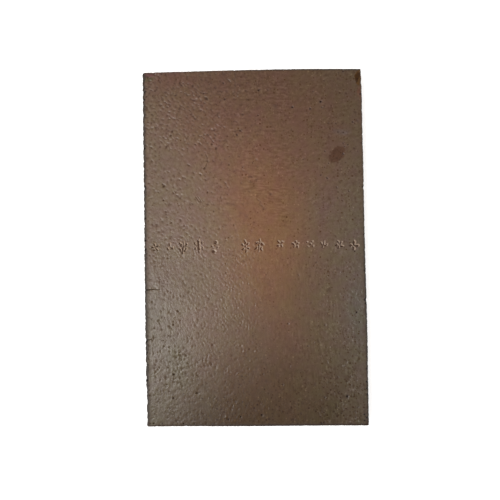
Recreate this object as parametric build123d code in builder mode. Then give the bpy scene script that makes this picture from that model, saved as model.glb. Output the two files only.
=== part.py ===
from build123d import *
import os

# Creasing tile: one flat piece of fired clay, with no nibs, holes or camber.
# The clay leaves the die as a flat ribbon, which rounds the two long arrises,
# and is cut to length with a wire, which leaves the two ends almost square.
#
# Row frame: X across the width, Y along the length, Z up through the
# thickness. The origin is at the middle of the bed face.

# ---- driving dimensions, millimetres ----
LENGTH = 265.0  # along Y, wire cut to wire cut
WIDTH = 165.0  # along X, the width of the die
THICKNESS = 12.0  # along Z, bed face to upper face
LONG_ARRIS_R = 1.0  # the die's rounding along the long edges
END_ARRIS_R = 0.6  # slight easing of the wire-cut ends and of the plan corners

# ---- the tile ----
with BuildPart() as creasing_tile:
    # cross-section of the ribbon, standing on the bed plane Z = 0
    with BuildSketch(Plane.XZ) as ribbon_section:
        with Locations((0, THICKNESS / 2)):
            RectangleRounded(WIDTH, THICKNESS, LONG_ARRIS_R)
    extrude(amount=LENGTH / 2, both=True)

    # the loop of edges round each wire-cut end
    cut_ends = creasing_tile.faces().filter_by(Axis.Y).sort_by(Axis.Y)
    end_loops = cut_ends.first.edges() + cut_ends.last.edges()
    fillet(end_loops, radius=END_ARRIS_R)

creasing_tile.part.label = "creasing_tile"

# ---- write the sub-part ----
os.makedirs("parts", exist_ok=True)
export_step(creasing_tile.part, "parts/creasing_tile.step")

size = creasing_tile.part.bounding_box().size
print("creasing_tile", "size", size, "volume", round(creasing_tile.part.volume))
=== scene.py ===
import math

import bpy
import numpy as np
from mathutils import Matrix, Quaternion, Vector


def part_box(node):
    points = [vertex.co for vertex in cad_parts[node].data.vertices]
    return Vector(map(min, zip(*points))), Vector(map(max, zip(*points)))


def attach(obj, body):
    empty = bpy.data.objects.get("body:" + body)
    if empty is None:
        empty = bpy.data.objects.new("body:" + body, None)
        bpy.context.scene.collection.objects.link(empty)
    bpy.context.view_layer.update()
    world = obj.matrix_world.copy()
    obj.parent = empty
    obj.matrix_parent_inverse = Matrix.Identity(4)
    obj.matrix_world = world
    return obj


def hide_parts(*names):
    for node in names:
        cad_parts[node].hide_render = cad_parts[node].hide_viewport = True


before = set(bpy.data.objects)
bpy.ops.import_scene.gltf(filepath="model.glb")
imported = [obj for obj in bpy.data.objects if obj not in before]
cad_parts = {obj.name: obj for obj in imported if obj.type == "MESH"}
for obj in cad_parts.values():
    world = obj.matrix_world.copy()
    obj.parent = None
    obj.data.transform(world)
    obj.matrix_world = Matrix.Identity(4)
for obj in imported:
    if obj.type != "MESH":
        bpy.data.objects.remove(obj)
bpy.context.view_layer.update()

# ---------------------------------------------------------------------------
# The creasing tile: one flat slab of fired clay. The frame's solid gives its
# box, and everything below works in millimetres inside that box.
# ---------------------------------------------------------------------------
LOW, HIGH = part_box("creasing_tile")
W = (HIGH.x - LOW.x) * 1000.0  # across, X
H = (HIGH.y - LOW.y) * 1000.0  # along, Y
T = (HIGH.z - LOW.z) * 1000.0  # through, Z
HW, HH = W / 2, H / 2

FACE = T - 0.26  # mean level of the upper face, so that its swells stay inside
STEP = 0.15625  # finest spacing of the upper face's relief
NX, NY = int(round(W / STEP)), int(round(H / STEP))


def smooth(a, lo, hi):
    t = np.clip((a - lo) / (hi - lo), 0.0, 1.0)
    return t * t * (3.0 - 2.0 * t)


def band_noise(seed, wavelength, spread=0.4, angle=0.0, stretch=1.0, shape=None, step=STEP):
    """Smooth random relief of one wavelength, drawn out along an angle."""
    ny, nx = shape or (NY + 1, NX + 1)
    by, bx = -(-ny // 32) * 32, -(-nx // 32) * 32
    rng = np.random.default_rng(seed)
    fy = np.fft.fftfreq(by, step)[:, None]
    fx = np.fft.rfftfreq(bx, step)[None, :]
    c, s = math.cos(math.radians(angle)), math.sin(math.radians(angle))
    along, across = (fx * c + fy * s) * stretch, fy * c - fx * s
    rho = np.sqrt(along**2 + across**2) + 1e-9
    gain = np.exp(-((np.log(rho * wavelength) / spread) ** 2) / 2)
    field = np.fft.irfft2(np.fft.rfft2(rng.standard_normal((by, bx))) * gain, (by, bx))
    field = field[:ny, :nx]
    return (field - field.mean()) / field.std()


def loop_noise(seed, wavelength, length, spread=0.4, step=0.25):
    """Random line that closes on itself, for the run round the edge."""
    n = int(round(length / step))
    rng = np.random.default_rng(seed)
    f = np.fft.rfftfreq(n, length / n) + 1e-9
    gain = np.exp(-((np.log(f * wavelength) / spread) ** 2) / 2)
    line = np.fft.irfft(np.fft.rfft(rng.standard_normal(n)) * gain, n)
    line = (line - line.mean()) / line.std()
    at = np.arange(n + 1) * (length / n)
    line = np.append(line, line[0])
    return lambda s: np.interp(np.mod(s, length), at, line)


def pressed(n, k=1.5):
    """Flattens the hills of a random relief and leaves its hollows deep."""
    p = -np.logaddexp(0.0, -k * n) / k
    return (p - p.mean()) / p.std()


def spiky(n, power=1.8):
    """Keeps the strong places of a random relief and flattens the rest."""
    q = np.sign(n) * np.abs(n) ** power
    return q / q.std()


# ---------------------------------------------------------------------------
# Outline. A fired tile is never quite square: each side stands in from the
# box by these amounts (position along the side, inset), in millimetres.
# ---------------------------------------------------------------------------
INSET_LEFT = [(-133, 0.70), (-120, 0.80), (-108, 0.64), (-96, 0.22), (-84, 0.32), (-72, 0.2), (-60, 0.03),
              (-36, 0.1), (-12, 0.03), (0, 0.04), (12, 0.16), (36, 0.2), (60, 0.12), (84, 0.05), (108, 0.15), (120, 0.2), (133, 0.16)]
INSET_RIGHT = [(-133, 0.34), (-108, 0.26), (-84, 0.16), (-72, 0.04), (-60, 0.08), (-36, 0.26), (-12, 0.53),
               (12, 0.71), (36, 0.69), (60, 0.61), (84, 0.83), (108, 0.80), (123, 0.88), (133, 1.4)]
INSET_TOP = [(-83, 0.24), (-66, 0.15), (-50, 0.2), (-30, 0.06), (0, 0.1), (20, 0.22), (40, 0.42), (60, 0.90), (83, 1.5)]
INSET_BOTTOM = [(-83, 0.26), (-60, 0.46), (-40, 0.3), (-20, 0.17), (0, 0.07), (20, 0.15), (50, 0.18), (70, 0.07), (83, 0.03)]


def inset(table, at):
    """The side's inset, eased through its measured points."""
    x, y = np.array(table, dtype=float).T
    fine = np.linspace(x[0], x[-1], 1600)
    line = np.interp(fine, x, y)
    width = 5.0 / (fine[1] - fine[0])
    k = np.exp(-((np.arange(-60, 61) / width) ** 2))
    line = np.convolve(np.pad(line, 60, mode="edge"), k / k.sum(), mode="valid")
    return np.interp(at, fine, line)


PERIMETER = 2 * (W + H)
rag_long = loop_noise(11, 6.5, PERIMETER, 0.45)
rag_fine = loop_noise(12, 2.4, PERIMETER, 0.4)
rag_nick = loop_noise(13, 3.4, PERIMETER, 0.35)
arris_run = loop_noise(14, 17.0, PERIMETER, 0.5)

# Where each side starts on the run round the edge, going counterclockwise
# from the corner at low X, low Y: bottom, right, top, left.
START = {"bottom": 0.0, "right": W, "top": W + H, "left": 2 * W + H}


def run_at(side, p):
    """Distance round the edge of a place p along a side."""
    p = np.asarray(p, dtype=float)
    return START[side] + {"bottom": p + HW, "right": p + HH, "top": HW - p, "left": HH - p}[side]


# Chips and torn notches in the upper arris: side, place, half length, depth.
CHIPS = [("left", 45.8, 1.0, 0.75), ("left", -105.6, 1.2, 0.55), ("left", 101.5, 0.9, 0.5), ("left", 113.0, 0.7, 0.35),
         ("left", -67.8, 0.7, 0.5), ("left", -30.6, 0.6, 0.45), ("left", -113.5, 2.2, 0.35), ("left", 0.6, 0.8, 0.35),
         ("left", -86.0, 1.4, 0.3), ("left", -128.0, 1.8, 0.3), ("left", 20.0, 1.1, 0.25), ("left", -51.0, 1.0, 0.3),
         ("right", 43.3, 1.1, 0.6), ("right", -40.3, 1.0, 0.8), ("right", -20.2, 0.9, 0.4), ("right", 122.5, 1.6, 0.4),
         ("right", 102.0, 0.9, 0.45), ("right", -74.0, 0.8, 0.3), ("right", -96.0, 1.2, 0.3), ("right", 76.0, 1.0, 0.35),
         ("top", -76.0, 1.4, 0.3), ("top", -13.2, 0.7, 0.35), ("top", 5.5, 1.1, 0.25), ("top", 30.0, 0.8, 0.2),
         ("bottom", -53.6, 0.9, 0.5), ("bottom", -76.0, 1.0, 0.45), ("bottom", -42.0, 0.7, 0.3), ("bottom", -1.8, 1.0, 0.3),
         ("bottom", 37.0, 0.8, 0.2), ("bottom", 64.0, 0.9, 0.25)]
RAG = {"left": (0.15, 0.10, 0.30), "right": (0.06, 0.05, 0.08), "top": (0.03, 0.03, 0.05), "bottom": (0.03, 0.04, 0.10)}
TABLES = {"left": INSET_LEFT, "right": INSET_RIGHT, "top": INSET_TOP, "bottom": INSET_BOTTOM}


def ragged(side, p):
    """How far the torn upper arris stands in from the side's smooth line."""
    a, b, c = RAG[side]
    s = run_at(side, p)
    out = a * np.maximum(rag_long(s) + 0.6, 0.0) + b * np.maximum(rag_fine(s), -0.4) + b * 0.4
    out = out + c * smooth(rag_nick(s), 1.3, 2.6)
    for name, place, half, depth in CHIPS:
        if name == side:
            out = out + (1.0 if side == "left" else 0.6) * depth * np.exp(-np.abs((p - place) / half) ** 2.6)
    return np.maximum(out, 0.0)


def arris_radius(side, p):
    """The die rounds the long arrises; the wire leaves the ends sharper."""
    base = {"left": 1.15, "right": 0.95, "top": 0.6, "bottom": 0.62}[side]
    r = base * (1.0 + 0.16 * arris_run(run_at(side, p)))
    half = HH if side in ("left", "right") else HW
    # the corner at low X, high Y is worn rounder than the other three
    if side == "left":
        r = r + 0.55 * np.exp(-((half - p) / 4.0) ** 2)
    if side == "top":
        r = r + 0.95 * np.exp(-((half + p) / 4.0) ** 2)
    return r


def sheet_map(U, V, radius, torn):
    """Places the flat grid (U, V) inside the tile's real outline.

    radius(side, p) is the rounding that is left outside the sheet, and torn
    adds the ragged line of the upper arris, which dies out inwards.
    """
    u, v = U[0, :], V[:, 0]
    left = inset(INSET_LEFT, v) + radius("left", v)
    right = inset(INSET_RIGHT, v) + radius("right", v)
    bottom = inset(INSET_BOTTOM, u) + radius("bottom", u)
    top = inset(INSET_TOP, u) + radius("top", u)
    s, t = (U + HW) / W, (V + HH) / H
    X = (-HW + left[:, None]) * (1 - s) + (HW - right[:, None]) * s
    Y = (-HH + bottom[None, :]) * (1 - t) + (HH - top[None, :]) * t
    if torn:
        fade = 2.2
        X = X + ragged("left", v)[:, None] * np.exp(-(U + HW) / fade) - ragged("right", v)[:, None] * np.exp(-(HW - U) / fade)
        Y = Y + ragged("bottom", u)[None, :] * np.exp(-(V + HH) / fade) - ragged("top", u)[None, :] * np.exp(-(HH - V) / fade)
    return X, Y


# ---------------------------------------------------------------------------
# Relief of the upper face, as heights over a fine grid.
# ---------------------------------------------------------------------------
U, V = np.meshgrid(np.linspace(-HW, HW, NX + 1), np.linspace(-HH, HH, NY + 1))
X, Y = sheet_map(U, V, arris_radius, True)

west = 1 - smooth(X, -62, 34)
north = smooth(Y, -30, 60)
south = 1 - smooth(Y, -70, 20)
east = smooth(X, 20, 70)

pebble = pressed(band_noise(21, 3.15, 0.48))
diagonal = pressed(band_noise(22, 3.0, 0.45, angle=-34, stretch=1.7))
upright = pressed(band_noise(23, 2.5, 0.42, angle=88, stretch=1.7))
slant = pressed(band_noise(24, 2.6, 0.42, angle=-50, stretch=1.9))
coarse = pressed(band_noise(29, 6.5, 0.45))
coarse_upright = pressed(band_noise(40, 4.4, 0.45, angle=88, stretch=2.0))
low_middle = (1 - smooth(Y, -82, -58)) * np.exp(-(((X - 2) / 26) ** 2))
streaks = band_noise(25, 2.1, 0.35, angle=88, stretch=8.0)
swell = band_noise(26, 12.0, 0.45)
broad = band_noise(27, 55.0, 0.5)

waist = np.exp(-(((Y + 20) / 50) ** 2))
far_west = 1 - smooth(X, -74, -42)
w_slant = (1 - smooth(X, -38, -5)) * smooth(Y, 5, 28) * (1 - smooth(Y, 62, 84))
w_diagonal = north * (1 - smooth(X, -25, 35)) * (1 - 0.7 * w_slant)
w_upright = south * (1 - smooth(X, -5, 60)) + 0.6 * east * south
w_upright = np.clip(w_upright, 0, 1)
w_pebble = np.sqrt(np.clip(1 - 0.6 * w_diagonal - 0.7 * w_slant - 0.95 * w_upright, 0.05, 1)) * (1 - 0.14 * far_west * waist)
peel = w_pebble * pebble + np.sqrt(w_diagonal) * 0.78 * diagonal + np.sqrt(w_slant) * 0.72 * slant
peel = peel + np.sqrt(w_upright) * (0.80 * (1 - 0.6 * low_middle) * upright + (0.55 + 0.40 * (1 - smooth(Y, -90, -60))) * (1 - 0.8 * low_middle) * slant) + (0.42 * (1 - w_upright) + 0.16 * far_west * waist) * coarse + 0.10 * w_upright * coarse_upright

patchy = smooth(band_noise(28, 24.0, 0.5), -1.6, 1.6)
far_south = 1 - smooth(Y, -95, -50)
far_north = smooth(Y, 68, 92) * (1 - smooth(X, -45, 5))
amount = (0.012 + 0.0165 * west + (0.0025 * far_south - 0.0100 * (1 - smooth(Y, -116, -90))) * (1 - smooth(X, -45, 0)) + 0.0028 * west * smooth(Y, -5, 15) * (1 - smooth(Y, 45, 70)) + 0.0034 * np.exp(-(((X + 26) / 20) ** 2)) * (1 - smooth(Y, -88, -62)) + 0.004 * west * north + 0.0140 * far_north - 0.004 * far_west * waist + 0.008 * np.exp(-(((X + 33) / 15) ** 2) - ((Y + 35) / 24) ** 2) - 0.0035 * np.exp(-(((X + 18) / 22) ** 2)) * south + 0.006 * east + 0.0045 * smooth(Y, 60, 95) * np.exp(-((X / 32) ** 2))) * (0.82 + 0.36 * patchy)
# the middle-right stays the smoothest, where the clay was rubbed by the belt
calm = np.exp(-((X - 30) / 26) ** 2 - ((Y - 18) / 62) ** 2)
amount = amount * (1 - 0.45 * calm)

face = amount * peel
# short slanting dashes in the upper left, small upright nubs left of the middle
dashes = spiky(band_noise(30, 2.9, 0.35, angle=-40, stretch=2.2), 1.45)
nubs = spiky(band_noise(32, 2.2, 0.35, angle=84, stretch=1.4), 1.45)
w_dashes = (0.75 * smooth(Y, 10, 60) + 0.7 * smooth(Y, 66, 92) * (1 - smooth(X, -40, 5))) * (1 - smooth(X, -20, 60)) * (0.4 + 0.8 * patchy)
w_nubs = np.exp(-(((X + 14) / 24) ** 2)) * (1 - smooth(Y, -10, 30)) * (0.50 + 0.50 * smooth(Y, -115, -65))
leaning = spiky(band_noise(33, 2.4, 0.35, angle=52, stretch=1.5), 1.45)
w_low = 1 - smooth(Y, -80, -55)
face = face + 0.036 * w_dashes * dashes + 0.028 * w_nubs * ((1 - w_low) * nubs + 1.25 * smooth(X, -42, -18) * w_low * leaning)
face = face + 0.010 * smooth(X, -10, 30) * (1 - smooth(Y, 10, 60)) * streaks
face = face + 0.009 * swell + 0.032 * broad
face = face - 0.06 * ((X / HW) ** 2 + 0.6 * (Y / HH) ** 2)

# short creases where the drying skin puckered
pucker = band_noise(35, 7.5, 0.4, angle=75, stretch=1.3)
puckered = smooth(band_noise(36, 10.0, 0.4), 0.5, 1.3) * (0.3 + 0.7 * west)
crease = np.exp(-((pucker / 0.24) ** 2)) * puckered
face = face - 0.055 * crease

# towards each edge the skin rolls down slightly, most on the left
for distance, depth, reach in ((X + HW, 0.16, 2.6), (HW - X, 0.10, 2.0), (Y + HH, 0.07, 1.6), (HH - Y, 0.06, 1.6)):
    face = face - depth * np.exp(-np.clip(distance, 0, None) / reach)

dark = 0.20 * crease + (0.16 + 0.04 * south) * smooth(-peel, 1.2, 2.9) * (0.4 + 0.6 * west)  # painted shade in the creases and the deepest hollows


def window(x, y, reach):
    """The part of the fine grid within reach of a point."""
    i0 = max(int((x - reach + HW) / STEP), 0)
    i1 = min(int((x + reach + HW) / STEP) + 2, NX + 1)
    j0 = max(int((y - reach + HH) / STEP), 0)
    j1 = min(int((y + reach + HH) / STEP) + 2, NY + 1)
    return slice(j0, j1), slice(i0, i1)


def pit(x, y, r, depth, aspect=1.0, turn=0.0, recess_shade=0.0, rim=0.04):
    """A burst bubble or a picked-out grain: a hollow with a low rim."""
    win = window(x, y, r * 3.2 * aspect)
    dx, dy = X[win] - x, Y[win] - y
    c, s = math.cos(turn), math.sin(turn)
    a, b = (dx * c + dy * s) / aspect, dy * c - dx * s
    d = np.sqrt(a * a + b * b) / r
    face[win] += depth * (rim * np.exp(-((d - 1.35) / 0.35) ** 2) - np.exp(-(d**2.6)))
    # painted shade inside the hollow, strongest at its middle
    if recess_shade:
        dark[win] = np.maximum(dark[win], recess_shade * (1 - smooth(d, 0.45, 1.15)))


# The pits that stand out on this face: place, radius, depth, and how much painted shade lies inside.
PITS = [
    (50.9, 107.0, 0.85, 0.73, 1.05), (43.0, 102.0, 0.7, 0.47, 0.83), (51.9, 102.7, 0.55, 0.4, 0.66), (29.8, 103.4, 0.9, 0.45, 0.8),
    (45.4, 114.7, 0.5, 0.31, 0.63), (67.9, 129.1, 0.7, 0.36, 0.71), (5.0, 116.6, 0.8, 0.42, 0.89), (12.0, 116.7, 0.6, 0.19, 0.37),
    (4.3, 97.8, 0.6, 0.33, 0.66), (14.4, 88.9, 0.55, 0.15, 0.22), (29.0, 86.3, 0.6, 0.18, 0.33), (74.3, 91.3, 0.65, 0.39, 0.77),
    (37.3, 64.1, 0.5, 0.21, 0.42), (50.2, 52.3, 0.55, 0.35, 0.75), (54.7, 50.0, 0.65, 0.44, 0.93), (61.6, 42.9, 0.7, 0.32, 0.53),
    (70.5, 39.9, 0.6, 0.37, 0.66), (62.5, 35.0, 0.6, 0.21, 0.38), (66.8, 67.6, 0.55, 0.18, 0.45), (-0.2, 62.4, 0.55, 0.21, 0.31),
    (-44.1, 121.0, 0.9, 0.3, 0.35), (-36.1, 115.1, 0.8, 0.37, 0.53), (-34.3, 111.4, 1.0, 0.38, 0.57), (-33.6, 110.5, 0.6, 0.33, 0.44),
    (-20.4, 110.5, 0.8, 0.43, 0.63), (-21.3, 122.6, 0.55, 0.33, 0.66), (-57.4, 114.3, 0.7, 0.37, 0.53), (-60.0, 87.2, 0.9, 0.41, 0.57),
    (-61.1, 84.2, 0.9, 0.41, 0.57), (-28.7, 87.4, 0.9, 0.24, 0.26), (-9.1, 86.7, 0.85, 0.4, 0.52), (-11.7, 83.7, 0.7, 0.4, 0.56),
    (-30.5, 76.9, 0.75, 0.39, 0.58), (-27.5, 73.7, 0.85, 0.34, 0.42), (-64.5, 75.8, 0.9, 0.28, 0.26), (-36.2, 58.9, 0.8, 0.38, 0.44),
    (-47.8, 61.3, 0.8, 0.31, 0.36), (-18.0, 61.3, 0.7, 0.29, 0.33), (-7.9, 59.4, 0.6, 0.28, 0.33), (-66.9, 46.2, 1.2, 0.46, 0.66),
    (-67.8, 47.7, 0.7, 0.27, 0.36), (-81.0, 45.6, 0.9, 0.36, 0.55), (-67.2, 35.8, 0.75, 0.43, 0.66), (-34.3, 41.0, 0.65, 0.33, 0.63),
    (-52.1, 16.4, 0.8, 0.3, 0.4), (-61.6, 18.8, 0.8, 0.34, 0.34), (-64.5, -7.5, 0.75, 0.4, 0.53), (-57.6, -46.9, 0.7, 0.45, 0.73),
    (-61.0, -56.9, 0.7, 0.48, 0.8), (-64.1, -57.9, 0.85, 0.35, 0.58), (-64.5, -65.1, 0.7, 0.33, 0.56), (-68.5, -68.5, 0.6, 0.37, 0.66),
    (-32.3, -72.1, 0.75, 0.37, 0.65), (-64.3, -73.5, 0.9, 0.31, 0.49), (-56.7, -77.5, 0.7, 0.4, 0.6), (-61.3, -93.7, 0.8, 0.66, 1.05),
    (-65.4, -88.6, 0.7, 0.4, 0.66), (-44.0, -94.3, 0.7, 0.4, 0.66), (-66.6, -101.0, 0.8, 0.35, 0.46), (-61.8, -111.0, 0.8, 0.48, 0.91),
    (-44.2, -107.6, 0.8, 0.47, 0.9), (-73.4, -113.4, 0.8, 0.32, 0.43), (-21.2, -127.0, 0.8, 0.34, 0.75), (-12.1, -125.2, 0.6, 0.46, 1.05),
    (-74.4, -91.3, 0.8, 0.27, 0.29), (74.5, -49.5, 0.75, 0.56, 1.05), (76.4, -56.6, 0.6, 0.39, 0.78), (23.8, -57.1, 0.65, 0.36, 0.57),
    (51.0, -58.3, 0.8, 0.38, 0.5), (38.3, -73.8, 0.65, 0.34, 0.65), (77.0, -78.1, 0.7, 0.24, 0.38), (60.0, -96.5, 0.6, 0.33, 0.53),
    (19.2, -101.9, 0.6, 0.37, 0.66), (50.1, -111.3, 0.65, 0.4, 0.73), (66.4, -111.0, 1.1, 0.6, 0.93), (3.5, -124.0, 0.85, 0.50, 1.03),
    (27.2, -127.3, 0.6, 0.21, 0.41), (49.5, -129.1, 0.65, 0.18, 0.37), (80.6, -126.5, 0.8, 0.36, 0.73), (74.2, -118.9, 0.6, 0.33, 0.66),
    (5.0, -94.0, 0.55, 0.24, 0.48), (25.0, -88.4, 0.5, 0.15, 0.26), (74.1, -4.6, 0.6, 0.38, 0.88), (41.3, 20.0, 0.7, 0.15, 0.22),
    (67.2, 11.4, 0.6, 0.15, 0.22), (56.4, 90.7, 0.55, 0.19, 0.44), (59.1, 90.7, 0.6, 0.19, 0.42), (61.9, 90.6, 0.6, 0.28, 0.64),
    (67.2, 90.6, 0.6, 0.21, 0.44), (63.4, 84.0, 0.75, 0.2, 0.44), (67.3, 83.6, 0.6, 0.29, 0.73), (67.0, 75.7, 0.6, 0.31, 0.61),
    (70.3, 74.4, 0.45, 0.27, 0.53), (68.0, 73.1, 0.5, 0.33, 0.66), (66.8, 67.6, 0.8, 0.18, 0.5), (62.2, 64.7, 0.6, 0.14, 0.32),
    (64.2, 63.4, 0.6, 0.2, 0.45), (53.3, 69.9, 0.55, 0.29, 0.66), (56.0, 60.9, 0.55, 0.27, 0.6), (53.0, 58.1, 0.55, 0.22, 0.45),
    (72.1, 69.6, 0.5, 0.16, 0.3), (77.4, 121.8, 0.5, 0.15, 0.33), (80.3, 112.0, 0.7, 0.35, 0.81), (-54.4, -129.9, 0.75, 0.5, 1.0),
    (-46.4, -130.1, 0.9, 0.35, 0.8), (-79.3, -129.8, 0.9, 0.4, 0.95), (-76.6, -129.6, 0.7, 0.45, 0.95), (47.7, -130.5, 0.6, 0.3, 0.8),
    (80.8, -100.2, 0.7, 0.4, 0.8),
    # nicks in the two long arrises
    (81.2, -40.2, 1.15, 0.60, 1.10), (81.2, -43.2, 0.85, 0.42, 0.85), (80.8, 43.2, 0.85, 0.42, 0.9), (80.9, 7.7, 0.75, 0.33, 0.7),
    (81.1, -18.8, 0.85, 0.42, 0.9), (81.3, -90.7, 0.85, 0.42, 0.9), (80.9, -105.3, 0.7, 0.36, 0.8), (81.3, -109.7, 0.8, 0.38, 0.8),
    (78.9, -124.2, 0.65, 0.36, 0.9), (78.8, -128.6, 0.65, 0.36, 0.8), (80.7, 75.5, 0.7, 0.33, 0.7), (81.4, -82.0, 0.65, 0.3, 0.7),
    (-81.2, 117.1, 1.0, 0.55, 1.0), (-80.9, 111.8, 0.75, 0.36, 0.8), (-81.0, 74.9, 0.9, 0.45, 0.9), (-81.2, 46.0, 1.0, 0.5, 1.0),
    (-81.0, 22.4, 0.8, 0.40, 0.8), (-81.1, 6.0, 0.85, 0.45, 0.9), (-81.1, -0.7, 0.85, 0.45, 0.9), (-81.0, -33.6, 0.65, 0.33, 0.7),
    (-81.1, -69.1, 0.9, 0.45, 0.9), (-81.2, -77.2, 0.9, 0.45, 0.9), (-80.1, -88.3, 0.75, 0.36, 0.8), (-81.1, -97.9, 0.9, 0.46, 0.95),
    (-81.2, -103.1, 0.65, 0.33, 0.7), (-81.1, -106.8, 0.75, 0.36, 0.8), (-79.7, -109.0, 0.7, 0.38, 0.85), (-79.7, -112.7, 0.6, 0.33, 0.7),
    (-80.5, -117.1, 0.75, 0.36, 0.8),
]
rng = np.random.default_rng(31)
for x, y, r, depth, recess_shade in PITS:
    shallow = (0.30 if depth < 0.45 else 0.0) * float(1 - smooth(x, -50, -10)) * float(1 - smooth(y, -20, 10))
    pit(x, y, r * (0.95 - 0.12 * float(1 - smooth(x, -55, -25)) - 0.6 * shallow), depth * (0.85 - shallow), aspect=1.0 + 0.35 * rng.random(), turn=rng.random() * math.pi, recess_shade=min(recess_shade * 1.2, 0.95 if depth < 0.45 else 1.1) * (1 - shallow) * (1 - 0.12 * float(1 - smooth(x, -55, -25))))

# Small pits at random, thickest in the left part and towards the lower edge.
for _ in range(1400):
    x, y = rng.uniform(-HW + 1.5, HW - 1.5), rng.uniform(-HH + 1.5, HH - 1.5)
    a, b, c, d = rng.random(4)
    low_left = float(1 - smooth(x, -40, 0)) * float(1 - smooth(y, -20, 10))
    likely = 0.20 + 0.72 * float(1 - smooth(x, -70, 10)) * (1 - 0.5 * low_left) + 0.25 * float(1 - smooth(y, -120, -70)) + 0.2 * float(smooth(x, 45, 75))
    if abs(y - 0.5) < 6.5 and b < 0.7:
        continue
    far = float(smooth(x, 35, 65))
    likely += 0.35 * far + 0.15 * float(smooth(y, 50, 90))
    if a < likely * 0.55:
        r = 0.42 + 0.42 * c * c
        turn = math.radians(-38) if (y > 20 and x < 10) else math.radians(88)
        pit(x, y, r * (1 - 0.10 * far - 0.16 * low_left), r * (0.06 + 0.12 * b + 0.07 * far - 0.03 * low_left), aspect=1.0 + 0.7 * d, turn=turn + (d - 0.5) * 1.6, recess_shade=(0.14 + 0.36 * b * b) * (1 - 0.6 * far) * (1 - 0.45 * low_left) + 0.7 * far * max(b - 0.35, 0.0))


def stroke(points, width, depth, recess_shade=0.0, lip=0.18, taper=False):
    """A line pressed or cracked into the face, with a low lip of moved clay."""
    pts = np.asarray(points, dtype=float)
    mid = (pts.max(0) + pts.min(0)) / 2
    reach = float(np.abs(pts - mid).max()) + width * 3.2
    win = window(mid[0], mid[1], reach)
    x, y = X[win], Y[win]
    best = np.full(x.shape, 1e9)
    share = np.zeros(x.shape)
    lengths = np.hypot(*np.diff(pts, axis=0).T)
    total, run = lengths.sum(), 0.0
    for (p, q, n) in zip(pts[:-1], pts[1:], lengths):
        e = (q - p) / n
        t = np.clip((x - p[0]) * e[0] + (y - p[1]) * e[1], 0, n)
        d = np.hypot(x - p[0] - e[0] * t, y - p[1] - e[1] * t)
        closer = d < best
        best = np.where(closer, d, best)
        share = np.where(closer, (run + t) / total, share)
        run += n
    w = width * (1 - 0.75 * share if taper else 1.0)
    k = depth * (1 - 0.6 * share if taper else 1.0)
    d = best / w
    # the third value is painted shade inside the line
    return win, -k * (1 - smooth(d, 0.25, 1.15)) + k * lip * np.exp(-((d - 1.5) / 0.4) ** 2), recess_shade * (1 - smooth(d, 0.2, 0.95))


def cut(points, width, depth, recess_shade=0.0, lip=0.1, taper=False):
    win, dz, line_shade = stroke(points, width, depth, recess_shade, lip, taper)
    face[win] += dz
    dark[win] = np.maximum(dark[win], line_shade)


# Cracks that run in from the left edge, a fine firing line at the upper edge,
# and three old scratches.
cut([(-82.6, -30.4), (-79.6, -30.9), (-77.0, -30.5), (-74.2, -30.8), (-70.6, -30.6)], 0.42, 0.75, 0.95, 0.06, True)
cut([(-82.4, -67.6), (-80.0, -68.0), (-77.9, -67.7), (-76.2, -68.4)], 0.42, 0.6, 0.8, 0.06, True)
cut([(-82.4, -50.6), (-80.4, -51.4), (-79.0, -51.2)], 0.34, 0.35, 0.55, 0.05, True)
cut([(-12.9, 132.2), (-12.0, 128.4), (-12.6, 124.2), (-11.8, 120.6), (-13.2, 116.6), (-12.8, 113.5)], 0.30, 0.16, 0.42, 0.1, True)
cut([(-35.2, 69.8), (-34.1, 66.9), (-34.0, 63.4), (-35.1, 60.4), (-37.0, 58.9)], 0.42, 0.14, 0.22, 0.3)
cut([(3.0, 34.6), (5.0, 33.6), (4.0, 31.2), (6.3, 30.2), (8.2, 27.6)], 0.5, 0.08, 0.4, 0.2)
cut([(-43.0, 37.8), (-40.6, 34.2)], 0.55, 0.15, 0.2, 0.35)
cut([(-41.4, 38.0), (-39.2, 34.6)], 0.45, 0.12, 0.15, 0.35)
cut([(-52.5, 106.6), (-50.2, 104.0), (-46.6, 102.6), (-44.8, 99.8)], 0.5, 0.07, 0.22, 0.2)
cut([(-55.0, 97.2), (-53.0, 95.6), (-51.0, 93.9), (-49.8, 92.0)], 0.5, 0.07, 0.22, 0.2)

# ---------------------------------------------------------------------------
# The row of shallow impressions across the middle. They are plain tool marks
# of no meaning: rosettes, ears of grain, thistles and groups of dots.
# A seed is a stroke that swells in the middle; a dot is a round dimple.
# ---------------------------------------------------------------------------


def rays(count, inner, outer, width, start=90.0, squeeze=1.0):
    out = []
    for k in range(count):
        a = math.radians(start + 360.0 * k / count)
        out.append(("seed", inner * math.cos(a), inner * squeeze * math.sin(a), outer * math.cos(a), outer * squeeze * math.sin(a), width))
    return out


def dots(points, r):
    return [("dot", x, y, x, y, r) for x, y in points]


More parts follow.
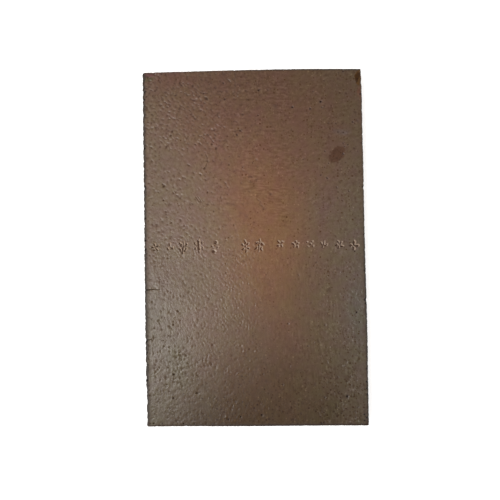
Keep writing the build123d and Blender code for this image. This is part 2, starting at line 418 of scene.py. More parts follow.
# coordinates in millimetres from the middle of the mark
MARKS = {
    "rosette": rays(5, 0.9, 3.0, 0.80),
    "quatrefoil": rays(4, 0.6, 3.0, 0.95, 45.0),
    "tall_rosette": rays(6, 1.1, 3.1, 0.80, 90.0, 1.45) + dots([(0, 0)], 0.8),
    "ear": [("seed", 0, -4.5, 0, 4.5, 0.6)] + [("seed", 0.9 * q, y - 1.1, 2.6 * q, y + 1.3, 0.85) for q in (-1, 1) for y in (-1.6, 1.8)],
    "small_ear": [("seed", 0, -3.1, 0, 3.1, 0.6)] + [("seed", 1.0 * q, -1.3, 2.7 * q, 1.2, 0.85) for q in (-1, 1)],
    "thistle": [("seed", 0, -4.5, 0, 4.5, 1.15)] + [("seed", 2.1 * q, y - 0.9, 2.3 * q, y + 0.9, 0.7) for q in (-1, 1) for y in (-1.7, 1.7)],
    "twin": dots([(0, 2.9), (0, -2.9)], 1.45) + dots([(-2.0, 0), (2.0, 0)], 0.75),
    "trio": dots([(-1.6, -1.3), (1.6, -1.3), (0.0, 1.7)], 1.15),
    "quincunx": dots([(-1.9, -1.8), (1.9, -1.8), (0, 0), (-1.9, 1.8), (1.9, 1.8)], 0.9),
}
# mark, middle X, middle Y, size, depth, lean in degrees
ROW = [
    ("rosette", -74.1, 0.5, 1.0, 0.26, 12), ("trio", -63.1, 1.0, 1.0, 0.26, 8), ("ear", -53.1, 0.1, 1.10, 0.28, -6),
    ("thistle", -41.4, 1.2, 1.12, 0.28, 4), ("twin", -29.6, 0.3, 1.15, 0.28, -14),
    ("tall_rosette", -6.7, 0.2, 1.08, 0.24, 6), ("ear", 3.4, 0.5, 1.10, 0.23, 172),
    ("quatrefoil", 19.0, 1.7, 1.05, 0.24, -7), ("rosette", 30.4, 1.0, 0.95, 0.25, 0), ("quincunx", 41.2, 1.2, 0.95, 0.23, 10),
    ("small_ear", 51.0, 0.8, 0.92, 0.25, -16), ("rosette", 62.5, 0.4, 1.0, 0.28, 25), ("quatrefoil", 73.2, -0.5, 1.2, 0.28, 40),
]
bent_x, bent_y = band_noise(37, 3.2, 0.4), band_noise(38, 3.2, 0.4)
uneven = band_noise(39, 2.6, 0.4)
lip = np.zeros_like(face)
for name, mx, my, size, depth, lean in ROW:
    win = window(mx, my, 8.0)
    x = X[win] - mx + 0.20 * bent_x[win]
    y = Y[win] - my + 0.20 * bent_y[win]
    c, s = math.cos(math.radians(lean)), math.sin(math.radians(lean))
    x, y = (x * c + y * s) / size, (y * c - x * s) / size
    groove = np.zeros(x.shape)
    for kind, x0, y0, x1, y1, width in MARKS[name]:
        n = math.hypot(x1 - x0, y1 - y0)
        if kind == "dot":
            d = np.hypot(x - x0, y - y0) / width
        else:
            ex, ey = (x1 - x0) / n, (y1 - y0) / n
            t = np.clip((x - x0) * ex + (y - y0) * ey, 0, n)
            w = width * np.sqrt(1.02 - (2 * t / n - 1) ** 2)
            d = np.hypot(x - x0 - ex * t, y - y0 - ey * t) / w
        groove = np.maximum(groove, 1 - smooth(d, 0.20, 1.18))
    groove = groove * np.clip(1 + 0.22 * uneven[win], 0.45, 1.3)
    # the clay that the tool pushed up and to the right of each groove
    moved = np.roll(groove, (3, 5), (0, 1)) - groove
    for _ in range(3):
        moved = (moved + np.roll(moved, 1, 0) + np.roll(moved, -1, 0) + np.roll(moved, 1, 1) + np.roll(moved, -1, 1)) / 5
    pushed = np.clip(moved, 0, 1)
    face[win] += -depth * groove + 0.24 * pushed
    # painted shade in the grooves of the marks
    dark[win] = np.maximum(dark[win], 0.85 * smooth(groove, 0.3, 0.92))
    # this mask gives the lips a pale painted highlight on their lit side, with some paler wear
    lip[win] = np.maximum(lip[win], smooth(pushed, 0.06, 0.34))

# nothing stands above the box
face = np.minimum(face, T - 0.012 - FACE)

# how far each place stands above or below its neighbourhood
def blur(a, sigma):
    fy = np.fft.fftfreq(a.shape[0] + 64, STEP)[:, None]
    fx = np.fft.rfftfreq(a.shape[1] + 64, STEP)[None, :]
    b = np.pad(a, 32, mode="edge")
    g = np.exp(-2 * (math.pi * sigma) ** 2 * (fx**2 + fy**2))
    return np.fft.irfft2(np.fft.rfft2(b) * g, b.shape)[32:-32, 32:-32]


stands = np.clip((face - blur(face, 2.2)) / 0.06, -2.0, 1.5)

# ---------------------------------------------------------------------------
# Meshing: square cells that halve where the relief needs it. Neighbours
# differ by one halving at most, and a cell beside smaller ones is fanned.
# ---------------------------------------------------------------------------


def cell_errors(field, cells, levels):
    """For each size of cell, how badly its four corners describe the relief."""
    out = []
    for level in range(levels):
        s = cells >> level
        ny, nx = (field.shape[0] - 1) // s, (field.shape[1] - 1) // s
        a = field[:-1:s, :-1:s][:ny, :nx]
        b = field[:-1:s, s::s][:ny, :nx]
        c = field[s::s, :-1:s][:ny, :nx]
        d = field[s::s, s::s][:ny, :nx]
        worst = np.zeros((ny, nx))
        skip = max(s // 8, 1)
        for j in range(0, s + 1, skip):
            for i in range(0, s + 1, skip):
                p, q = i / s, j / s
                flat = a * (1 - p) * (1 - q) + b * p * (1 - q) + c * (1 - p) * q + d * p * q
                real = field[j:j + ny * s:s, i:i + nx * s:s][:ny, :nx]
                np.maximum(worst, np.abs(real - flat), out=worst)
        out.append(worst)
    return out


def grow(mask):
    m = np.pad(mask, 1)
    return (m[:-2, 1:-1] | m[2:, 1:-1] | m[1:-1, :-2] | m[1:-1, 2:] | m[1:-1, 1:-1]
            | m[:-2, :-2] | m[:-2, 2:] | m[2:, :-2] | m[2:, 2:])


def pair_any(mask):
    return mask[::2, ::2] | mask[1::2, ::2] | mask[::2, 1::2] | mask[1::2, 1::2]


def spread_out(mask):
    return np.repeat(np.repeat(mask, 2, 0), 2, 1)


def choose_cells(errors, threshold, rim_level, power=0.6):
    """Which cells split at each level; the rim's cells all have one size."""
    levels = len(errors)
    split = [e > threshold * (0.5 ** (k * power)) for k, e in enumerate(errors)]
    for k in range(levels):
        rim = np.zeros_like(split[k])
        rim[0, :] = rim[-1, :] = rim[:, 0] = rim[:, -1] = True
        if k < rim_level:
            split[k] |= rim
        else:
            near = grow(rim) if k > rim_level else rim
            for _ in range(k - rim_level):
                near = grow(near)
            split[k] &= ~near
    for k in range(levels - 1, 0, -1):
        split[k - 1] |= pair_any(grow(split[k]))
    # a cell can only split if its parent did
    for k in range(1, levels):
        split[k] &= spread_out(split[k - 1])
    return split


def count_leaves(split):
    ny, nx = split[0].shape
    total, present = 0, np.ones((ny, nx), bool)
    for k, s in enumerate(split):
        total += int((present & ~s).sum())
        present = spread_out(present & s)
    return total + int(present.sum())


def mesh_cells(split, cells):
    """Vertices (column, row on the fine grid) and triangles of the leaves."""
    leaves = []
    present = np.ones(split[0].shape, bool)
    for k in range(len(split) + 1):
        s = cells >> k
        here = present & ~split[k] if k < len(split) else present
        j, i = np.nonzero(here)
        leaves.append(np.stack([i * s, j * s, np.full(i.shape, s)], 1))
        if k < len(split):
            present = spread_out(present & split[k])
    leaves = np.concatenate(leaves)
    nx, ny = split[0].shape[1] * cells, split[0].shape[0] * cells
    used = np.zeros((ny + 1, nx + 1), bool)
    x, y, s = leaves.T
    for dx, dy in ((0, 0), (1, 0), (1, 1), (0, 1)):
        used[y + dy * s, x + dx * s] = True
    h = s // 2
    can = s > 1
    mids = []
    for mx, my in ((x + h, y), (x + s, y + h), (x + h, y + s), (x, y + h)):
        mids.append(can & used[my, mx])
    mids = np.stack(mids, 1)
    fanned = mids.any(1)
    used[(y + h)[fanned], (x + h)[fanned]] = True
    index = np.full(used.shape, -1, np.int64)
    index[used] = np.arange(int(used.sum()))
    row, col = np.nonzero(used)
    tris = []
    q = ~fanned
    a, b = index[y[q], x[q]], index[y[q], (x + s)[q]]
    c, d = index[(y + s)[q], (x + s)[q]], index[(y + s)[q], x[q]]
    flip = ((x[q] // s[q] + y[q] // s[q]) % 2).astype(bool)
    tris.append(np.where(flip[:, None], np.stack([a, b, c], 1), np.stack([a, b, d], 1)))
    tris.append(np.where(flip[:, None], np.stack([a, c, d], 1), np.stack([b, c, d], 1)))
    f = fanned
    fx, fy, fs, fh, fm = x[f], y[f], s[f], h[f], mids[f]
    middle = index[fy + fh, fx + fh]
    corner = [(fx, fy), (fx + fs, fy), (fx + fs, fy + fs), (fx, fy + fs)]
    centre = [(fx + fh, fy), (fx + fs, fy + fh), (fx + fh, fy + fs), (fx, fy + fh)]
    for k in range(4):
        p, r = corner[k], corner[(k + 1) % 4]
        pi, ri = index[p[1], p[0]], index[r[1], r[0]]
        mi = index[centre[k][1], centre[k][0]]
        whole = ~fm[:, k]
        tris.append(np.stack([pi[whole], ri[whole], middle[whole]], 1))
        part = fm[:, k]
        tris.append(np.stack([pi[part], mi[part], middle[part]], 1))
        tris.append(np.stack([mi[part], ri[part], middle[part]], 1))
    return col, row, index, np.concatenate(tris)


TOP_CELL = 16  # 2.5 mm
errors = cell_errors(face, TOP_CELL, 4)
lo_t, hi_t = 1e-4, 0.5
BUDGET = 55000  # cells
for _ in range(18):
    mid_t = math.sqrt(lo_t * hi_t)
    if count_leaves(choose_cells(errors, mid_t, 2)) > BUDGET:
        lo_t = mid_t
    else:
        hi_t = mid_t
split = choose_cells(errors, hi_t, 2)
col, row, top_index, top_tris = mesh_cells(split, TOP_CELL)
top_co = np.stack([X[row, col], Y[row, col], FACE + face[row, col]], 1)
n_top = len(top_co)

# ---------------------------------------------------------------------------
# The underside: flatter, laid on the belt, with a few drag marks and pits.
# ---------------------------------------------------------------------------
BED_STEP = 0.625
bx, by = int(round(W / BED_STEP)), int(round(H / BED_STEP))
BU, BV = np.meshgrid(np.linspace(-HW, HW, bx + 1), np.linspace(-HH, HH, by + 1))
LOWER_R = 0.75


def lower_radius(side, p):
    return LOWER_R * (1.0 + 0.15 * arris_run(run_at(side, p) + 400.0))


BX, BY = sheet_map(BU, BV, lower_radius, False)
bed = 0.05 * pressed(band_noise(41, 9.0, 0.5, shape=BU.shape, step=BED_STEP))
bed = bed + 0.03 * band_noise(42, 4.0, 0.35, angle=90, stretch=5.0, shape=BU.shape, step=BED_STEP)
bed = bed + 0.05 * band_noise(43, 48.0, 0.5, shape=BU.shape, step=BED_STEP)
rb = np.random.default_rng(44)
for _ in range(90):
    x, y, r = rb.uniform(-76, 76), rb.uniform(-126, 126), rb.uniform(0.8, 1.9)
    bed = bed - rb.uniform(0.1, 0.3) * np.exp(-(((BX - x) ** 2 + (BY - y) ** 2) / r**2) ** 1.2)
bed = bed - bed.max()
bed_rise = -bed  # height of each place above the level it stands on
BED_CELL = 8  # 5 mm
bed_errors = cell_errors(bed, BED_CELL, 2)
lo_t, hi_t = 1e-4, 0.5
for _ in range(14):
    mid_t = math.sqrt(lo_t * hi_t)
    if count_leaves(choose_cells(bed_errors, mid_t, 2)) > 3000:
        lo_t = mid_t
    else:
        hi_t = mid_t
bed_split = choose_cells(bed_errors, hi_t, 2)
bcol, brow, bed_index, bed_tris = mesh_cells(bed_split, BED_CELL)
bed_co = np.stack([BX[brow, bcol], BY[brow, bcol], bed_rise[brow, bcol]], 1)
bed_tris = bed_tris[:, ::-1]

# ---------------------------------------------------------------------------
# The edge: columns all the way round, from the torn upper arris down the wall
# to the lower arris. The corners are fans of four columns.
# ---------------------------------------------------------------------------
RIM = 4  # fine steps per column: 0.625 mm
PER_BED = 2  # columns per node of the underside's rim: 1.25 mm
cols = []  # top vertex, bed vertex, direction, run, side, place, keep, node
SIDES = ("bottom", "right", "top", "left")
OUT = {"bottom": (0, -1), "right": (1, 0), "top": (0, 1), "left": (-1, 0)}


def rim_node(side, k):
    """Fine-grid column and row of the k-th rim node of a side."""
    return {"bottom": (k * RIM, 0), "right": (NX, k * RIM), "top": (NX - k * RIM, NY), "left": (0, NY - k * RIM)}[side]


def place_of(side, k):
    i, j = rim_node(side, k)
    return (-HW + i * STEP) if side in ("bottom", "top") else (-HH + j * STEP)


for si, side in enumerate(SIDES):
    n = (NX if side in ("bottom", "top") else NY) // RIM
    before = SIDES[si - 1]
    a0 = math.degrees(math.atan2(OUT[before][1], OUT[before][0]))
    for m, turn in enumerate((0, 30, 60, 90)):
        a = math.radians(a0 + turn)
        half = before if turn < 45 else side
        cols.append((side, 0, math.cos(a), math.sin(a), START[side] + (m - 1.5) * 0.4, half, True))
    for k in range(1, n):
        cols.append((side, k, OUT[side][0], OUT[side][1], START[side] + k * RIM * STEP, side, k % PER_BED == 0))

side_of = [c[5] for c in cols]
node = np.array([rim_node(c[0], c[1]) for c in cols])
keep = np.array([c[6] for c in cols])
dirs = np.array([(c[2], c[3]) for c in cols])
run = np.mod(np.array([c[4] for c in cols]), PERIMETER)
is_long = np.array([s in ("left", "right") for s in side_of])
corner = np.array([c[1] == 0 for c in cols])
top_ids = top_index[node[:, 1], node[:, 0]]
bed_node = node // 4  # 0.15625 -> 0.625
bed_ids = np.where(keep, bed_index[bed_node[:, 1], bed_node[:, 0]], -1)
assert (top_ids >= 0).all() and (bed_ids[keep] >= 0).all()

px = -HW + node[:, 0] * STEP
py = -HH + node[:, 1] * STEP


def by_side(fn):
    """Reads a quantity for every column from its own side."""
    out = np.zeros(len(cols))
    for side in SIDES:
        m = np.array([s == side for s in side_of])
        out[m] = fn(side, px[m] if side in ("bottom", "top") else py[m])
    return out


def corner_pair(fn):
    """The same for both axes, so that a corner column has one value of each."""
    qx = np.zeros(len(cols))
    qy = np.zeros(len(cols))
    for side in SIDES:
        m = np.array([s == side for s in side_of]) & ~corner
        v = fn(side, px[m] if side in ("bottom", "top") else py[m])
        qx[m] = qy[m] = v
    for c in np.nonzero(corner)[0]:
        xs = "left" if px[c] < 0 else "right"
        ys = "bottom" if py[c] < 0 else "top"
        qx[c] = float(np.ravel(fn(xs, np.array([py[c]])))[0])
        qy[c] = float(np.ravel(fn(ys, np.array([px[c]])))[0])
    return qx, qy


r_x, r_y = corner_pair(arris_radius)
l_x, l_y = corner_pair(lower_radius)
tear = by_side(ragged)
away = np.minimum.reduce([np.abs(run - q) for q in (0, W, W + H, 2 * W + H, PERIMETER)])
calm_corner = smooth(away, 0.5, 6.0)

# the wall's own line: the smooth outline without the tears
in_l, in_r = inset(INSET_LEFT, py), inset(INSET_RIGHT, py)
in_b, in_t = inset(INSET_BOTTOM, px), inset(INSET_TOP, px)
sx, ty = (px + HW) / W, (py + HH) / H
R_l, R_r = arris_radius("left", py), arris_radius("right", py)
R_b, R_t = arris_radius("bottom", px), arris_radius("top", px)
in_x = (-HW + in_l + R_l) * (1 - sx) + (HW - in_r - R_r) * sx
in_y = (-HH + in_b + R_b) * (1 - ty) + (HH - in_t - R_t) * ty
wall_x = in_x + dirs[:, 0] * r_x
wall_y = in_y + dirs[:, 1] * r_y

# relief of the walls: drag lines along the die-formed long sides, and the
# wire's scratches up and down the two cut ends
n_run, n_up = int(PERIMETER / 0.5), 32
drag = band_noise(51, 2.2, 0.4, angle=0, stretch=9.0, shape=(n_up, n_run), step=0.5)
bumps = pressed(band_noise(52, 4.2, 0.45, shape=(n_up, n_run), step=0.5))
wire = band_noise(53, 2.6, 0.4, angle=78, stretch=6.0, shape=(n_up, n_run), step=0.5)
crumb = pressed(band_noise(54, 2.6, 0.4, shape=(n_up, n_run), step=0.5), 2.0)


def on_wall(field, s, z):
    fx = np.mod(s, PERIMETER) / 0.5
    fz = np.clip(z / 0.5, 0, n_up - 1.001)
    i, j = fx.astype(int) % n_run, fz.astype(int)
    a, b = fx - np.floor(fx), fz - j
    i2 = (i + 1) % n_run
    return (field[j, i] * (1 - a) + field[j, i2] * a) * (1 - b) + (field[j + 1, i] * (1 - a) + field[j + 1, i2] * a) * b


def wall_in(s, z, long_side):
    """How far the wall stands in at a place; never less than nothing."""
    d_long = 0.05 * on_wall(drag, s, z) + 0.06 * on_wall(bumps, s, z) + 0.05
    d_end = 0.08 * on_wall(wire, s, z) + 0.09 * on_wall(crumb, s, z) + 0.10
    return np.maximum(np.where(long_side, d_long, d_end), 0.0)


verts = [top_co]
count = n_top
rows = []  # vertex ids per row, for the columns in it
stand = [stands[row, col]]
shade = [dark[row, col]]
lip_highlight = [lip[row, col]]


def arris_shade(side, p):
    """How much painted shade each arris gets."""
    if side == "left":
        return np.full(np.shape(p), 1.0)
    if side == "right":
        return 0.45 + 0.75 * (1 - smooth(np.asarray(p, float), -20, 50))
    if side == "top":
        return 0.35 + 0.5 * smooth(np.asarray(p, float), -25, 25)
    return 0.70 + 0.5 * smooth(np.asarray(p, float), -50, -10)


tone_now = by_side(arris_shade)
u_at, v_at = U[row, col], V[row, col]
shaded = np.zeros(n_top)
for side, gap, place in (("left", u_at + HW, v_at), ("right", HW - u_at, v_at), ("bottom", v_at + HH, u_at), ("top", HH - v_at, u_at)):
    shaded = np.maximum(shaded, {"left": 0.42, "right": 0.34, "top": 0.45, "bottom": 0.62}[side] * arris_shade(side, place) * np.exp(-((gap / (1.5 if side == "left" else 0.8)) ** 2)))
    if side in ("left", "right"):
        shaded = np.maximum(shaded, 0.10 * arris_shade(side, place) * (1 - smooth(gap, 0.5, 4.6 if side == "left" else 3.4)))
# painted shade along the right edge near the lower end, deeper in its hollows
margin = (1 - smooth(v_at, -118, -88)) * (1 - smooth(HW - u_at, 1.0, 5.0))
shaded = np.maximum(shaded, margin * (0.16 + 0.14 * smooth(stands[row, col], 0.2, -1.0)))
arris = [shaded]
wall = [np.zeros(n_top)]
bedding = [np.zeros(n_top)]

z_top = top_co[top_ids, 2]
p_top = top_co[top_ids, :2]
drop = np.where(is_long, 1.05, 0.62) * (1 + 0.14 * arris_run(run + 150.0))
drop = np.clip(drop + 0.35 * tear, 0.35, 2.2)

ARRIS_ROWS = (18.0, 38.0, 62.0, 90.0)
rough_fine = loop_noise(61, 1.9, PERIMETER, 0.4)
rough_mid = loop_noise(62, 3.8, PERIMETER, 0.4)
rim_x = p_top[:, 0] - in_x  # the tear's shift of the inner line
rim_y = p_top[:, 1] - in_y
rim_dark = dark[row, col][top_ids]
for a in ARRIS_ROWS:
    f = math.radians(a)
    out, down = math.sin(f), 1 - math.cos(f)
    shake = 0.05 * rough_fine(run + a) * math.sin(f * 1.6) * calm_corner
    x = p_top[:, 0] + dirs[:, 0] * (r_x * out - np.abs(shake))
    y = p_top[:, 1] + dirs[:, 1] * (r_y * out - np.abs(shake))
    z = z_top - drop * down + 0.04 * rough_mid(run + 3 * a) * math.sin(f)
    verts.append(np.stack([x, y, z], 1))
    rows.append(np.arange(count, count + len(cols)))
    count += len(cols)
    stand.append(np.zeros(len(cols)))
    shade.append(rim_dark * (1 - 0.5 * out * out))
    lip_highlight.append(np.zeros(len(cols)))
    # painted shade on the arris, deeper where it turns down
    arris.append((0.3 + 0.7 * out) * tone_now)
    wall.append(np.full(len(cols), max(0.0, (a - 40) / 50) * 0.6))
    bedding.append(np.zeros(len(cols)))

n_arris = len(rows)
kept = np.nonzero(keep)[0]
low_z = LOWER_R
WALL_ROWS = 7
base_z = verts[-1][:, 2]
for w in range(1, WALL_ROWS + 1):
    t = w / WALL_ROWS
    z = base_z[kept] * (1 - t) + low_z * t
    depth = base_z[kept] - z
    torn = tear[kept] * np.exp(-depth / 1.6)
    s_in = wall_in(run[kept], z, is_long[kept]) * calm_corner[kept] * smooth(depth, 0.0, 1.5)
    x = wall_x[kept] - dirs[kept, 0] * (torn + s_in)
    y = wall_y[kept] - dirs[kept, 1] * (torn + s_in)
    verts.append(np.stack([x, y, z], 1))
    rows.append(np.arange(count, count + len(kept)))
    count += len(kept)
    stand.append(np.clip(-s_in / 0.12 + 0.7, -1.5, 1.0))
    shade.append(np.zeros(len(kept)))
    lip_highlight.append(np.zeros(len(kept)))
    arris.append(0.85 * math.exp(-8.0 * t) * tone_now[kept])
    wall.append(np.ones(len(kept)))
    bedding.append(np.zeros(len(kept)))

bed_z = bed_co[bed_ids[kept], 2]
bed_p = bed_co[bed_ids[kept], :2]
last = verts[-1]
for a in (30.0, 60.0):
    f = math.radians(a)
    out, up = math.cos(f), 1 - math.sin(f)
    x = bed_p[:, 0] * (1 - out) + last[:, 0] * out
    y = bed_p[:, 1] * (1 - out) + last[:, 1] * out
    z = bed_z * (1 - up) + low_z * up
    verts.append(np.stack([x, y, z], 1))
    rows.append(np.arange(count, count + len(kept)))
    count += len(kept)
    stand.append(np.zeros(len(kept)))
    shade.append(np.zeros(len(kept)))
    lip_highlight.append(np.zeros(len(kept)))
    arris.append(np.full(len(kept), 0.6))
    wall.append(np.ones(len(kept)))
    bedding.append(np.full(len(kept), 0.3))

bed_offset = count
verts.append(bed_co)
n_bed = len(bed_co)
stand.append(np.clip(-(bed_rise[brow, bcol] - 0.16) / 0.12, -1.5, 1.0))
shade.append(np.zeros(n_bed))
lip_highlight.append(np.zeros(n_bed))
arris.append(np.zeros(n_bed))
wall.append(np.zeros(n_bed))
bedding.append(np.ones(n_bed))
verts = np.concatenate(verts)


def strip(a, b):
    """Triangles between two rows that have the same columns."""
    a2, b2 = np.roll(a, -1), np.roll(b, -1)
    t = np.concatenate([np.stack([a, b, b2], 1), np.stack([a, b2, a2], 1)])
    owner = np.concatenate([np.arange(len(a))] * 2)
    good = (t[:, 0] != t[:, 1]) & (t[:, 1] != t[:, 2]) & (t[:, 0] != t[:, 2])
    return t[good], owner[good]


def narrow(a, b, keep):
    """Triangles from a full row down to the row of kept columns only."""
    out, owner = [], []
    n = len(a)
    place = np.cumsum(keep) - 1
    for i in range(n):
        j = (i + 1) % n
        if keep[i] and keep[j]:
            p, q = b[place[i]], b[place[j]]
            out += [(a[i], p, q), (a[i], q, a[j])]
            owner += [i, i]
        elif keep[i]:
            k = (i + 2) % n
            p, q = b[place[i]], b[place[k]]
            out += [(a[i], p, a[j]), (a[j], p, q), (a[j], q, a[k])]
            owner += [i, i, i]
    return np.array(out), np.array(owner)


faces = [top_tris]
group = [np.zeros(len(top_tris), int)]  # 0 upper face and arris, 1 walls, 2 underside
owners = [np.full(len(top_tris), -1)]
above = top_ids
for ids in rows[:n_arris]:
    t, o = strip(above, ids)
    faces.append(t)
    group.append(np.zeros(len(t), int))
    owners.append(o)
    above = ids
t, o = narrow(above, rows[n_arris], keep)
faces.append(t)
group.append(np.ones(len(t), int))
owners.append(o)
above = rows[n_arris]
for ids in rows[n_arris + 1:]:
    t, o = strip(above, ids)
    faces.append(t)
    group.append(np.ones(len(t), int))
    owners.append(kept[o])
    above = ids
t, o = strip(above, bed_ids[kept] + bed_offset)
faces.append(t)
group.append(np.ones(len(t), int))
owners.append(kept[o])
faces.append(bed_tris + bed_offset)
group.append(np.full(len(bed_tris), 2))
owners.append(np.full(len(bed_tris), -1))
faces = np.concatenate(faces)
group = np.concatenate(group)
owners = np.concatenate(owners)

# the tile rests on its lowest places
verts[:, 2] -= verts[:, 2].min()
assert len(faces) < 199000
print("tile: vertices", len(verts), "triangles", len(faces), "low", verts.min(0).round(3), "high", verts.max(0).round(3))

mesh = bpy.data.meshes.new("tile")
mesh.vertices.add(len(verts))
mesh.vertices.foreach_set("co", (verts * 0.001).astype(np.float32).ravel())
mesh.loops.add(len(faces) * 3)
mesh.loops.foreach_set("vertex_index", faces.astype(np.int32).ravel())
mesh.polygons.add(len(faces))
mesh.polygons.foreach_set("loop_start", np.arange(0, len(faces) * 3, 3, dtype=np.int32))
mesh.update(calc_edges=True)
mesh.validate()
mesh.shade_smooth()

for name, parts in (("stand", stand), ("recess_shade", shade), ("lip_highlight", lip_highlight), ("arris", arris), ("wall", wall), ("bedding", bedding)):
    a = mesh.attributes.new(name, "FLOAT", "POINT")
    a.data.foreach_set("value", np.concatenate(parts).astype(np.float32))

# ---------------------------------------------------------------------------
# Texture layout on a square of 1024: the upper face with its arrises in one
# piece, then the two long walls and the two cut ends as strips, and the
# underside. Pixels are counted from the lower left.
# ---------------------------------------------------------------------------
PX = 1.0 / 1024.0
FINE = 265.0 / 988.0  # millimetres per pixel of the upper face and the walls
flat = verts[:, :2].copy()  # position on the unrolled upper face
for k, a in enumerate(ARRIS_ROWS):
    arc = math.radians(a) * 1.1
    flat[rows[k]] = p_top + dirs * arc
column = np.zeros(len(verts), int)
depth_at = np.zeros(len(verts))
for k, ids in enumerate(rows):
    column[ids] = np.arange(len(cols)) if k < n_arris else kept
    depth_at[ids] = T - verts[ids, 2] + (0.0 if k < n_arris + WALL_ROWS else 0.35 * (k + 1 - n_arris - WALL_ROWS))
rim = bed_ids[kept] + bed_offset
column[rim] = kept
depth_at[rim] = T + 1.0
corner_v = faces.ravel()
corner_g = np.repeat(group, 3)
corner_o = np.repeat(owners, 3)
uv = np.zeros((len(corner_v), 2))
m = corner_g == 0
uv[m] = np.stack([318.0 + flat[corner_v[m], 0] / FINE, 512.0 + flat[corner_v[m], 1] / FINE], 1) * PX
m = corner_g == 1
owner_side = np.array([SIDES.index(side) for side in side_of])[np.maximum(corner_o, 0)]
s_here = run[column[corner_v]]
s_owner = run[np.maximum(corner_o, 0)]
s_here = np.where(s_here - s_owner > PERIMETER / 2, s_here - PERIMETER, s_here)
s_here = np.where(s_owner - s_here > PERIMETER / 2, s_here + PERIMETER, s_here)
for k, (side, left, bottom) in enumerate((("bottom", 744, 14), ("right", 640, 16), ("top", 796, 14), ("left", 692, 16))):
    q = m & (owner_side == SIDES.index(side))
    s0 = START[side]
    local = s_here[q] - s0
    local = np.where(local > PERIMETER / 2, local - PERIMETER, local)
    uv[q] = np.stack([left + depth_at[corner_v[q]] / FINE * 0.92, bottom + local / FINE], 1) * PX
m = corner_g == 2
uv[m] = np.stack([864.0 + verts[corner_v[m], 0] * 1.43, 826.0 + verts[corner_v[m], 1] * 1.40], 1) * PX
layer = mesh.uv_layers.new(name="OFBake")
layer.uv.foreach_set("vector", uv.astype(np.float32).ravel())

tile = bpy.data.objects.new("tile", mesh)
bpy.context.scene.collection.objects.link(tile)

# ---------------------------------------------------------------------------
# Fired clay
# ---------------------------------------------------------------------------
clay = bpy.data.materials.new("fired_clay_brindled")
clay.use_nodes = True
nt = clay.node_tree
nt.nodes.clear()


def node_of(kind, **props):
    n = nt.nodes.new(kind)
    for k, v in props.items():
        setattr(n, k, v)
    return n


def plug(socket, value):
    if isinstance(value, bpy.types.NodeSocket):
        nt.links.new(value, socket)
    elif value is not None:
        socket.default_value = value


def calc(op, a, b=None, c=None, clamp=False):
    n = node_of("ShaderNodeMath", operation=op, use_clamp=clamp)
    for s, v in zip(n.inputs, (a, b, c)):
        plug(s, v)
    return n.outputs[0]


def vec(op, a, b=None, c=None, scale=None):
    n = node_of("ShaderNodeVectorMath", operation=op)
    plug(n.inputs[0], a)
    plug(n.inputs[1], b)
    if c is not None:
        plug(n.inputs[2], c)
    if scale is not None:
        plug(n.inputs["Scale"], scale)
    return n.outputs["Value"] if op in ("LENGTH", "DOT_PRODUCT", "DISTANCE") else n.outputs[0]


def placed(v, loc=(0, 0, 0), turn=(0, 0, 0), size=(1, 1, 1)):
    n = node_of("ShaderNodeMapping", vector_type="TEXTURE")
    plug(n.inputs["Vector"], v)
    n.inputs["Location"].default_value = loc
    n.inputs["Rotation"].default_value = [math.radians(t) for t in turn]
    n.inputs["Scale"].default_value = size
    return n.outputs[0]


def noise(v, wavelength, detail=2.0, rough=0.5, distort=0.0, colour=False, kind="3D"):
    n = node_of("ShaderNodeTexNoise", noise_dimensions=kind)
    plug(n.inputs["Vector"], v)
    n.inputs["Scale"].default_value = 1.0 / wavelength
    n.inputs["Detail"].default_value = detail
    n.inputs["Roughness"].default_value = rough
    n.inputs["Distortion"].default_value = distort
    return n.outputs["Color"] if colour else n.outputs[0]


def span(v, a, b, c=0.0, d=1.0, kind="SMOOTHSTEP"):
    n = node_of("ShaderNodeMapRange", interpolation_type=kind)
    plug(n.inputs["Value"], v)
    for key, value in zip(("From Min", "From Max", "To Min", "To Max"), (a, b, c, d)):
        plug(n.inputs[key], value)
    return n.outputs["Result"]


def attribute(name):
    n = node_of("ShaderNodeAttribute", attribute_type="GEOMETRY", attribute_name=name)
    return n.outputs["Fac"]


def blend(fac, a, b, mode="MIX"):
    n = node_of("ShaderNodeMix", data_type="RGBA", blend_type=mode, clamp_factor=True)
    plug(n.inputs["Factor"], fac)
    sockets = [s for s in n.inputs if s.type == "RGBA"]
    for s, v in zip(sockets, (a, b)):
        plug(s, (*v, 1.0) if isinstance(v, tuple) else v)
    return [s for s in n.outputs if s.type == "RGBA"][0]


def toned(colour, factor):
    """Lightens or darkens a colour by a factor and holds its hue to the eye."""
    lift = vec("MULTIPLY_ADD", calc("SUBTRACT", factor, 1.0), (0.76, 1.0, 1.26), (1.0, 1.0, 1.0))
    return vec("MULTIPLY", colour, lift)


where = node_of("ShaderNodeTexCoord").outputs["Object"]
across_x = vec("DOT_PRODUCT", where, (1000.0, 0.0, 0.0))
along_y = vec("DOT_PRODUCT", where, (0.0, 1000.0, 0.0))
mm = vec("SCALE", where, scale=1000.0)  # object coordinates in millimetres

a_stand, a_recess_shade = attribute("stand"), attribute("recess_shade")
a_arris, a_wall, a_bed = attribute("arris"), attribute("wall"), attribute("bedding")
a_lip_highlight = attribute("lip_highlight")

# zones of paler and darker colour, their borders broken up by a slow noise
wander = vec("SCALE", vec("SUBTRACT", noise(mm, 26.0, 2.0, colour=True), (0.5, 0.5, 0.5)), scale=12.0)
mmz = vec("ADD", mm, wander)


def zone(x, y, rx, ry, turn=0.0, src=None):
    """1 in the middle of a soft ellipse, 0 outside it."""
    q = placed(src or mmz, (x, y, 0), (0, 0, turn), (rx, ry, 1e6))
    return span(vec("LENGTH", q), 0.0, 1.0, 1.0, 0.0, "SMOOTHERSTEP")


